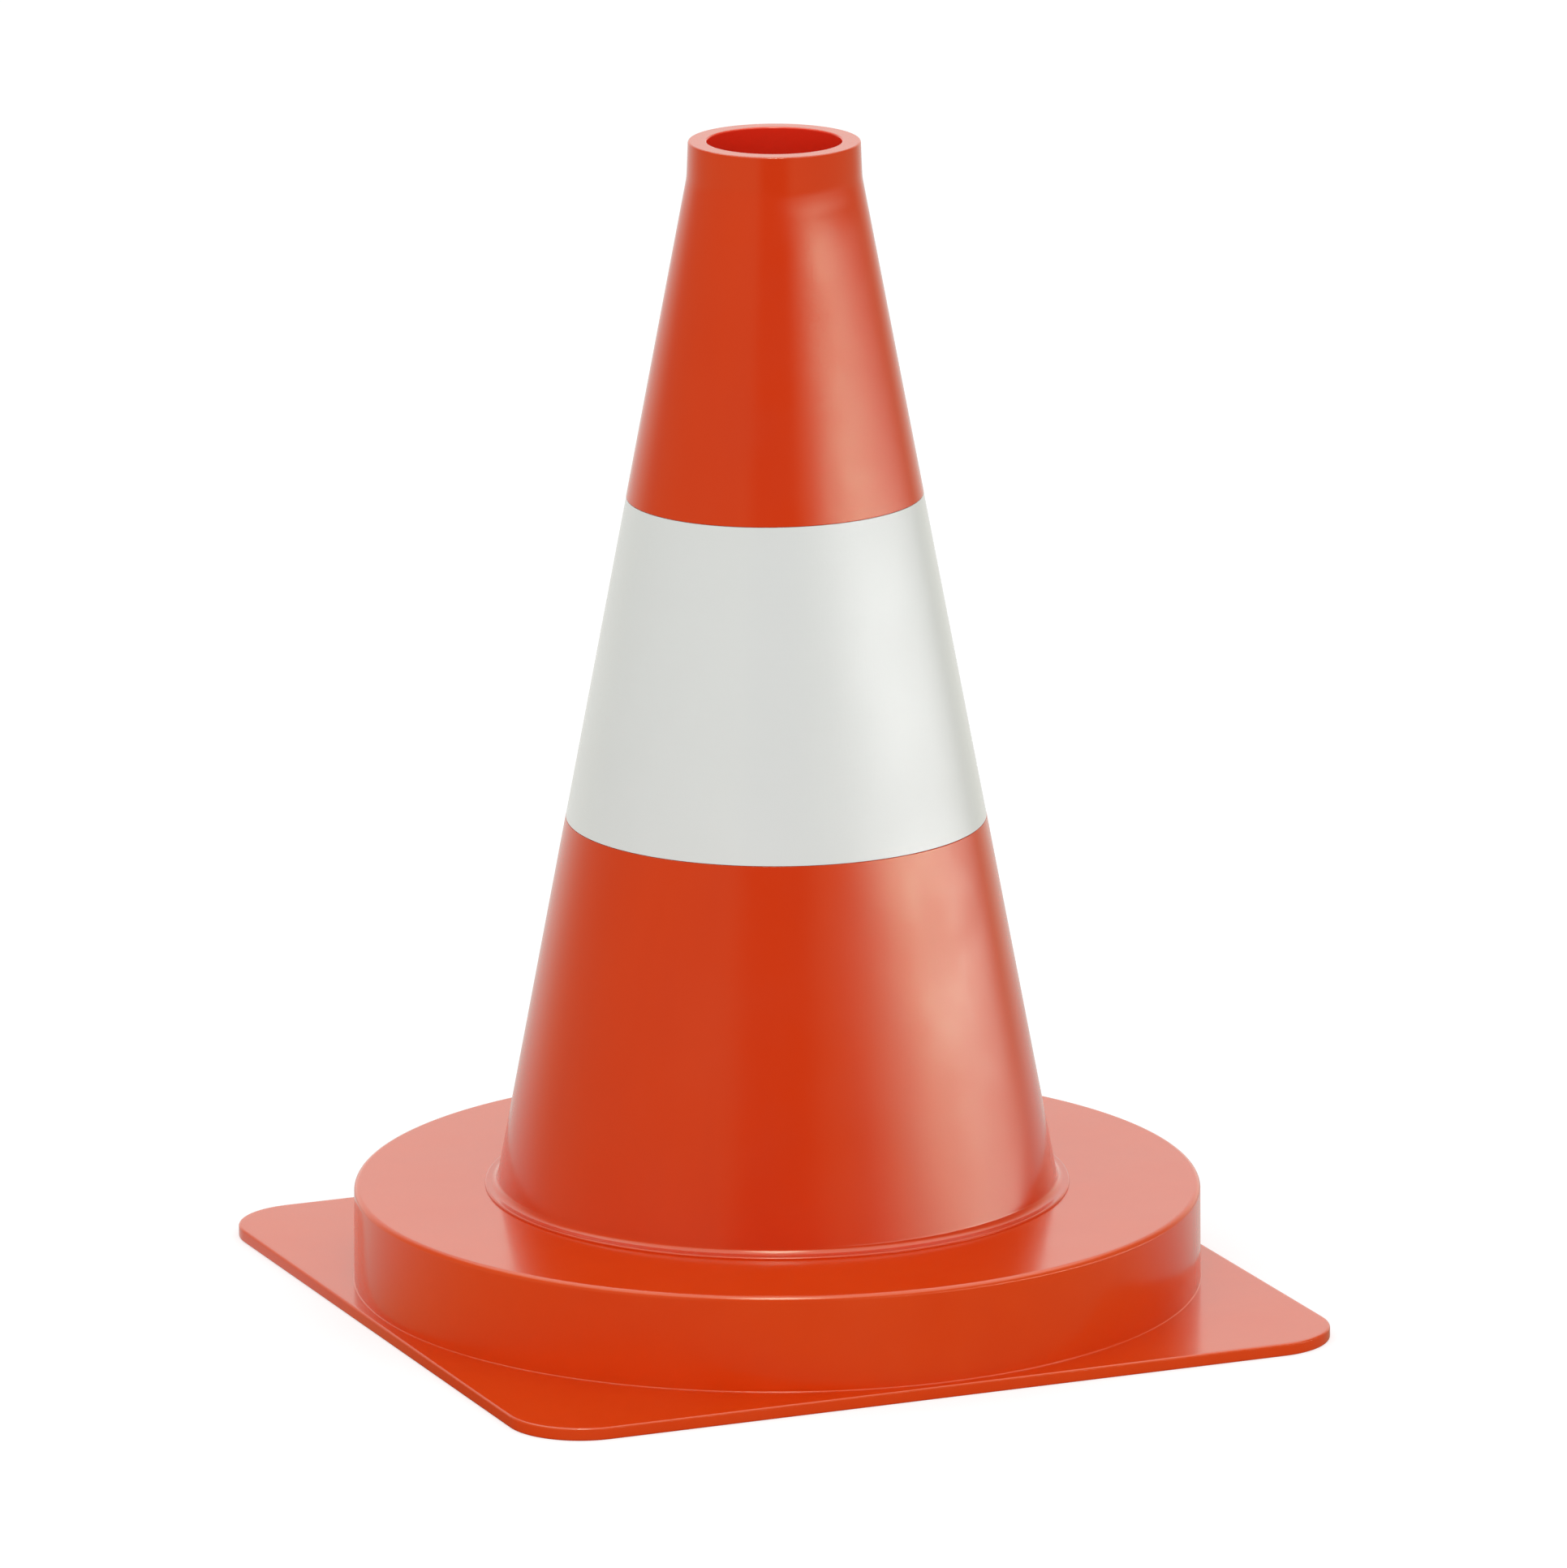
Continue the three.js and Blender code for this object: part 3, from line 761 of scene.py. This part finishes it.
BACK_SHIFT = math.radians(8)
BACK_TURN = (math.radians(115), math.radians(152))
BACK_TINT = (1.0, 1.0, 0.94)
BACK_TINT_TURN = (math.radians(100), math.radians(165))


def part_along(tree, place, direction):
    """How much of a direction or place lies along another direction: their dot product."""
    product = add_node(
        tree, "ShaderNodeVectorMath", {"operation": "DOT_PRODUCT"}, {1: tuple(direction)}, {0: place}
    )
    return product.outputs["Value"]


def apart(tree, first, second):
    """How far two numbers are apart."""
    return calculate(tree, "ABSOLUTE", calculate(tree, "SUBTRACT", first, second))


def bearing_from_front(tree, place):
    """How far a direction or a place lies round the axis from the front, in radians and positive to the
    right: the arc tangent of its part to the right over its part to the front."""
    parts = [part_along(tree, place, direction) for direction in (rightward, toward_camera)]
    return calculate(tree, "ARCTAN2", *parts)


def surroundings_glow(tree, bearing):
    """How bright the surroundings are at a bearing: dark in front, grey to the sides and white behind."""
    turn = calculate(tree, "ABSOLUTE", bearing)
    sides = smooth_step(tree, turn, *SIDE_TURN, 0.0, SIDE_GREY)
    behind = smooth_step(tree, apart(tree, bearing, BACK_SHIFT), *BACK_TURN, 0.0, BACK_EXTRA)
    return calculate(tree, "ADD", sides, behind)


def back_share(tree, bearing):
    """Zero in front and at the sides, and one behind."""
    return smooth_step(tree, apart(tree, bearing, BACK_SHIFT), *BACK_TINT_TURN, 0.0, 1.0)


def surroundings_tint(tree, behind):
    """The colour of the surroundings: warm in front and at the sides, nearly neutral behind."""
    return mix_colours(tree, behind, SIDE_TINT, BACK_TINT)


def mirrored_floor(tree):
    """The floor as the gloss mirrors it. Near the cone its glow rises from front to back, and further off
    it is that of the surroundings. The tint goes the same way."""
    place = add_node(tree, "ShaderNodeTexCoord").outputs["Object"]
    bearing = bearing_from_front(tree, place)
    turn = calculate(tree, "ABSOLUTE", bearing)
    distance = add_node(tree, "ShaderNodeVectorMath", {"operation": "LENGTH"}, links={0: place})
    far = smooth_step(tree, distance.outputs["Value"], *FLOOR_FAR_RANGE, 0.0, 1.0)
    near_glow = smooth_step(tree, turn, *FLOOR_NEAR_TURN, FLOOR_DARK, FLOOR_BRIGHT)
    glow = mix_values(tree, far, near_glow, surroundings_glow(tree, bearing))
    near_behind = smooth_step(tree, turn, *FLOOR_TINT_TURN, 0.0, 1.0)
    tint = surroundings_tint(tree, mix_values(tree, far, near_behind, back_share(tree, bearing)))
    return add_node(tree, "ShaderNodeEmission", links={"Color": tint, "Strength": glow}).outputs["Emission"]


def add_shaders(tree, first, second):
    """Two shaders added up."""
    return add_node(tree, "ShaderNodeAddShader", links={0: first, 1: second}).outputs["Shader"]


def mix_shaders(tree, share, first, second):
    """One of two shaders: the first where the share is 0, the second where it is 1."""
    return add_node(tree, "ShaderNodeMixShader", links={0: share, 1: first, 2: second}).outputs["Shader"]


def floor_sheet(name):
    """A pale matt sheet. Seen directly it is greyer and glows a little, and mirrored it only glows."""
    material, tree, output = new_material(name)
    path = add_node(tree, "ShaderNodeLightPath").outputs
    plain = add_node(tree, "ShaderNodeBsdfDiffuse", values={"Color": FLOOR_PALE}).outputs["BSDF"]
    shaded = add_node(tree, "ShaderNodeBsdfDiffuse", values={"Color": FLOOR_SEEN}).outputs["BSDF"]
    lift = add_node(tree, "ShaderNodeEmission", values={"Strength": FLOOR_LIFT}).outputs["Emission"]
    unseen = mix_shaders(tree, path["Is Glossy Ray"], plain, mirrored_floor(tree))
    sheet = mix_shaders(tree, path["Is Camera Ray"], unseen, add_shaders(tree, shaded, lift))
    tree.links.new(sheet, output.inputs["Surface"])
    return material


floor_points = FLOOR_HALF_SIDE * np.array(((-1, -1, 0), (1, -1, 0), (1, 1, 0), (-1, 1, 0)))
floor = mesh_object("floor", floor_points, [[0, 1, 2, 3]], floor_sheet("floor_sheet"))

# Surroundings: what the gloss mirrors above the floor, with a plain ceiling and a brighter patch high in
# front. They light the matt surfaces evenly, and the camera sees them as white.
EVEN_LIGHT = 0.88
FRONT_LIGHT = 0.16
SKY_SHARE = 0.80
HORIZON_EXTRA = 0.56
HORIZON_TURN = (math.radians(120), math.radians(155))
CEILING = 3.0
CEILING_RISE = (0.58, 0.82)
HIGH_FRONT = 8.0
HIGH_FRONT_TURN = (math.radians(6), math.radians(24))
HIGH_FRONT_RISE = (0.68, 0.82)
WHITE = (1.0, 1.0, 1.0)


def height_of(tree, place):
    """The height of a place, or the rise of a direction."""
    return add_node(tree, "ShaderNodeSeparateXYZ", links={"Vector": place}).outputs["Z"]


def fill_surroundings(tree):
    """The light from every direction. A matt surface gets an even light with a little more from the front.
    A mirror shows the glow by the bearing, the ceiling from a certain rise up, and the patch where both the
    rise and the bearing are near the high front. Below the ceiling it also shows the surroundings' tint."""
    tree.nodes.clear()
    path = add_node(tree, "ShaderNodeLightPath").outputs
    place = add_node(tree, "ShaderNodeTexCoord").outputs["Generated"]
    rise = height_of(tree, place)
    bearing = bearing_from_front(tree, place)
    turn = calculate(tree, "ABSOLUTE", bearing)
    behind = smooth_step(tree, turn, *HORIZON_TURN, 0.0, HORIZON_EXTRA)
    glow = calculate(tree, "MULTIPLY", surroundings_glow(tree, bearing), SKY_SHARE)
    around = calculate(tree, "ADD", glow, behind)
    upwards = smooth_step(tree, rise, *CEILING_RISE, 0.0, 1.0)
    patch = calculate(
        tree,
        "MULTIPLY",
        smooth_step(tree, turn, *HIGH_FRONT_TURN, HIGH_FRONT, 0.0),
        smooth_step(tree, rise, *HIGH_FRONT_RISE, 0.0, 1.0),
    )
    mirrored = calculate(tree, "ADD", mix_values(tree, upwards, around, CEILING), patch)
    front_part = calculate(tree, "MULTIPLY", part_along(tree, place, toward_camera), FRONT_LIGHT)
    matt = calculate(tree, "ADD", EVEN_LIGHT, front_part)
    lit = mix_values(tree, path["Is Glossy Ray"], matt, mirrored)
    strength = mix_values(tree, path["Is Camera Ray"], lit, 1.0)
    below = calculate(tree, "MULTIPLY", path["Is Glossy Ray"], calculate(tree, "SUBTRACT", 1.0, upwards))
    colour = mix_colours(tree, below, WHITE, surroundings_tint(tree, back_share(tree, bearing)))
    background = add_node(tree, "ShaderNodeBackground", links={"Color": colour, "Strength": strength})
    add_node(tree, "ShaderNodeOutputWorld", links={"Surface": background.outputs["Background"]})


world = bpy.data.worlds.new("surroundings")
bpy.context.scene.world = world
world.use_nodes = True
world.cycles.sampling_method = "NONE"
fill_surroundings(world.node_tree)

# Scrim: a curved screen on the right. The plastic mirrors its slanting lit band as the long soft highlight,
# which turns a little to the front and dies away below the collar. It lights nothing else.
SCRIM_DISTANCE = 0.50
SCRIM_BOTTOM = 0.001
SCRIM_TOP = 0.50
SCRIM_START = math.radians(-15)
SCRIM_END = math.radians(150)
SCRIM_COLUMNS = 166
BAND_STRENGTH = 17.4
BAND_RISE = 0.2513
BAND_LEAN = 0.1485
BAND_REACH = 0.037
BAND_MIDDLE = math.radians(74.5)
BAND_SPAN = math.radians(63.5)
BAND_TWIST = math.radians(28)
BAND_TOP_TURN = math.radians(16)
BAND_TURN_RANGE = (0.295, 0.310)
BAND_TOP_REACH = 0.20
BAND_REACH_RANGE = (0.3035, 0.312)
BAND_FADE_RANGE = (0.293, 0.3130)


def slanting_band(tree):
    """The glow of the screen, like that of a lamp behind a grid: it depends on the way that a ray goes. The
    glow falls off with the distance between the ray's rise and the band's line, which sinks evenly with the
    bearing, and with the distance between its bearing and the band's centre. The height at which the ray
    left the cone is its height on the screen less its rise along the way. It twists the centre towards the
    front, widens the band at the collar's foot and fades it there."""
    way_back = add_node(tree, "ShaderNodeNewGeometry").outputs["Incoming"]
    reverse = {"operation": "SCALE"}
    ray = add_node(tree, "ShaderNodeVectorMath", reverse, {"Scale": -1.0}, {0: way_back}).outputs["Vector"]
    place = add_node(tree, "ShaderNodeTexCoord").outputs["Object"]
    bearing = bearing_from_front(tree, ray)
    rise = height_of(tree, ray)
    climb = calculate(tree, "MULTIPLY", rise, SCRIM_DISTANCE - RIM_RADIUS)
    left_at = calculate(tree, "SUBTRACT", height_of(tree, place), climb)
    line = calculate(tree, "SUBTRACT", BAND_RISE, calculate(tree, "MULTIPLY", bearing, BAND_LEAN))
    reach = smooth_step(tree, left_at, *BAND_REACH_RANGE, BAND_REACH, BAND_TOP_REACH)
    across = calculate(tree, "DIVIDE", apart(tree, rise, line), reach)
    twist = calculate(tree, "MULTIPLY", left_at, BAND_TWIST)
    top_turn = smooth_step(tree, left_at, *BAND_TURN_RANGE, 0.0, BAND_TOP_TURN)
    centre_at_floor = BAND_MIDDLE + 0.5 * TOTAL_HEIGHT * BAND_TWIST
    centre = calculate(tree, "SUBTRACT", centre_at_floor, calculate(tree, "ADD", twist, top_turn))
    glow = smooth_step(tree, across, 0.0, 1.0, BAND_STRENGTH, 0.0)
    along = smooth_step(tree, apart(tree, bearing, centre), 0.0, BAND_SPAN, 1.0, 0.0)
    fade = smooth_step(tree, left_at, *BAND_FADE_RANGE, 1.0, 0.0)
    return calculate(tree, "MULTIPLY", glow, calculate(tree, "MULTIPLY", along, fade))


def scrim_screen():
    """An upright part of a cylinder about the cone's axis: at a bearing b its points are the distance times
    (cos b towards the camera plus sin b to the right), in two rows at its lower and upper edge."""
    bearing = np.linspace(SCRIM_START, SCRIM_END, SCRIM_COLUMNS)[None, :, None]
    to_front = np.cos(bearing) * np.array(toward_camera)
    to_right = np.sin(bearing) * np.array(rightward)
    points = np.repeat(SCRIM_DISTANCE * (to_front + to_right), 2, axis=0)
    points[..., 2] = np.array((SCRIM_BOTTOM, SCRIM_TOP))[:, None]
    faces = ring_faces(2, SCRIM_COLUMNS, joined=False)[: SCRIM_COLUMNS - 1]
    return points, faces.tolist()


scrim_material, scrim_tree, scrim_output = new_material("scrim_glow")
scrim_material.cycles.emission_sampling = "NONE"
scrim_glow = add_node(scrim_tree, "ShaderNodeEmission", links={"Strength": slanting_band(scrim_tree)})
scrim_clear = add_node(scrim_tree, "ShaderNodeBsdfTransparent")
scrim_both = add_shaders(scrim_tree, scrim_glow.outputs["Emission"], scrim_clear.outputs["BSDF"])
scrim_tree.links.new(scrim_both, scrim_output.inputs["Surface"])
scrim = mesh_object("scrim", *scrim_screen(), scrim_material)
scrim.visible_camera = False
scrim.visible_diffuse = False
scrim.visible_shadow = False

# Soft box: one wide lamp above the camera. It models the cone gently and catches the creases.
LAMP_DISTANCE = 1.6
LAMP_ELEVATION = math.radians(54)
LAMP_SIDE = 0.45
LAMP_POWER = 3.0

lamp_data = bpy.data.lights.new("soft_box", "AREA")
lamp_data.shape = "SQUARE"
lamp_data.size = LAMP_SIDE
lamp_data.energy = LAMP_POWER
lamp = bpy.data.objects.new("soft_box", lamp_data)
bpy.context.scene.collection.objects.link(lamp)
lamp_aim = toward_camera * math.cos(LAMP_ELEVATION) + UP * math.sin(LAMP_ELEVATION)
lamp.location = lamp_aim * LAMP_DISTANCE + UP * 0.5 * TOTAL_HEIGHT
lamp.rotation_euler = lamp_aim.to_track_quat("Z", "Y").to_euler()

bpy.context.scene.view_settings.view_transform = "Standard"
